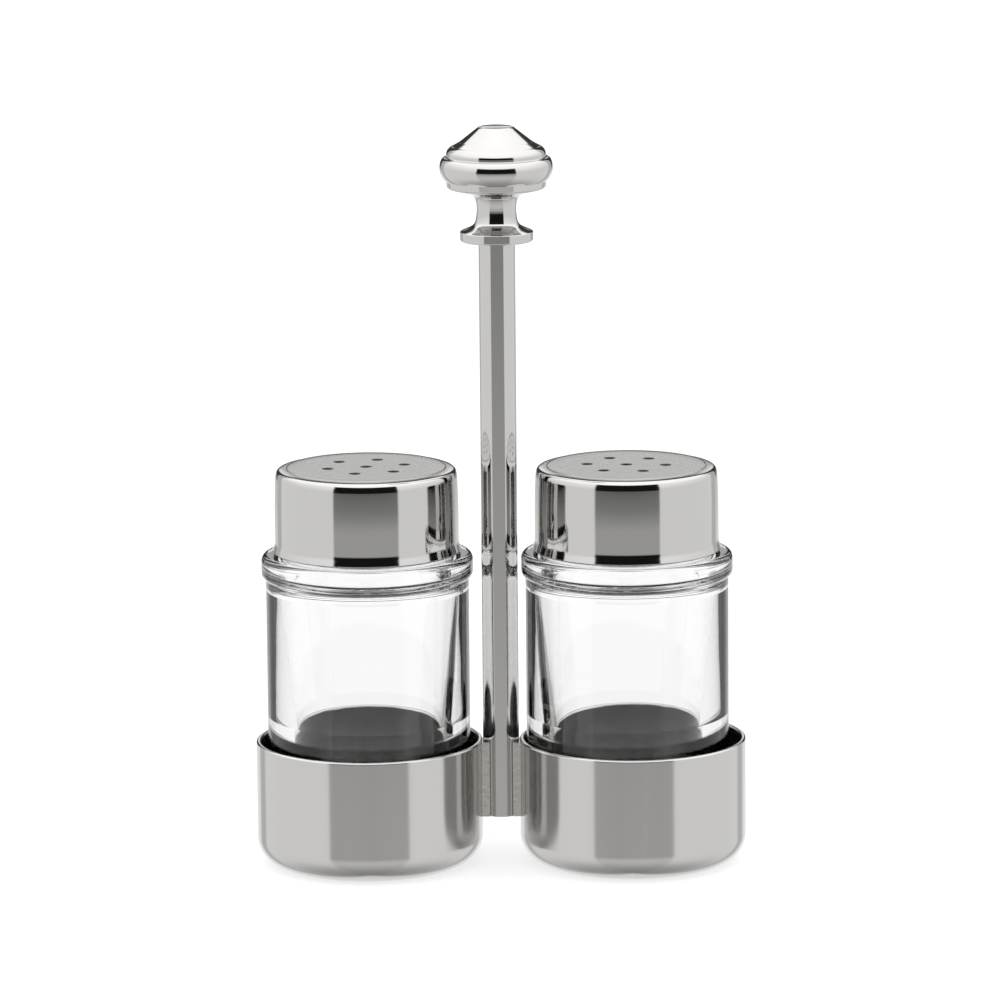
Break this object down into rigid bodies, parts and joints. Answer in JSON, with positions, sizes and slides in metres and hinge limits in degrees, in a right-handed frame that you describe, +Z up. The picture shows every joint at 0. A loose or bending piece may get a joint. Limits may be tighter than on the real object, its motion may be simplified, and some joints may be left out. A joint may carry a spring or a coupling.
{
  "type": "cruet stand",
  "caption": "Tabletop cruet stand: round steel cups on either side of a post with a turned knob, holding glass shaker jars under perforated screw caps.",
  "frame": {"origin": "on the table, under the axis of the post, midway between the two cups", "axes": "+Z up along the post, +X from the left cup to the right one, +Y away from the viewer"},
  "size_m": [0.0974, 0.045, 0.1478],
  "materials": {
    "polished_steel": "mirror polished stainless steel",
    "satin_steel": "polished stainless steel, finely brushed on top",
    "plain_steel": "as turned",
    "silver_braze": "smooth filler metal",
    "brass": "as turned",
    "clear_glass": "clear pressed glass, smooth",
    "liner_plastic": "moulded",
    "pad_foam": "matt black foam rubber"
  },
  "bodies": {
    "stand": {"knob": "polished_steel", "knob_stud": "plain_steel", "post_bush": "brass", "post_tube": "polished_steel", "post_plug": "plain_steel", "braze_left": "silver_braze", "braze_right": "silver_braze", "cup_left": "polished_steel", "cup_right": "polished_steel", "pad_left": "pad_foam", "pad_right": "pad_foam"},
    "jar_left": {"jar_left": "clear_glass"},
    "jar_right": {"jar_right": "clear_glass"},
    "liner_left": {"cap_liner_left": "liner_plastic"},
    "liner_right": {"cap_liner_right": "liner_plastic"},
    "cap_left": {"cap_shell_left": "satin_steel"},
    "cap_right": {"cap_shell_right": "satin_steel"}
  },
  "joints": [
    {"name": "jar_left_lift", "type": "slide", "parent": "stand", "child": "jar_left", "axis": [0, 0, 1], "range_m": [0, 0.025]},
    {"name": "jar_right_lift", "type": "slide", "parent": "stand", "child": "jar_right", "axis": [0, 0, 1], "range_m": [0, 0.025]},
    {"name": "cap_left_rise", "type": "slide", "parent": "jar_left", "child": "liner_left", "axis": [0, 0, 1], "range_m": [0, 0.017]},
    {"name": "cap_right_rise", "type": "slide", "parent": "jar_right", "child": "liner_right", "axis": [0, 0, 1], "range_m": [0, 0.017]},
    {"name": "cap_left_turn", "type": "hinge", "parent": "liner_left", "child": "cap_left", "pos_m": [-0.02625, 0, 0.0632], "axis": [0, 0, 1], "range_deg": [0, 1440]},
    {"name": "cap_right_turn", "type": "hinge", "parent": "liner_right", "child": "cap_right", "pos_m": [0.02525, 0, 0.0632], "axis": [0, 0, 1], "range_deg": [0, 1440]}
  ],
  "couplings": [
    {"joint": "cap_left_rise", "follows": "cap_left_turn", "m_per_rad": 0.00067375},
    {"joint": "cap_right_rise", "follows": "cap_right_turn", "m_per_rad": 0.00067375}
  ]
}
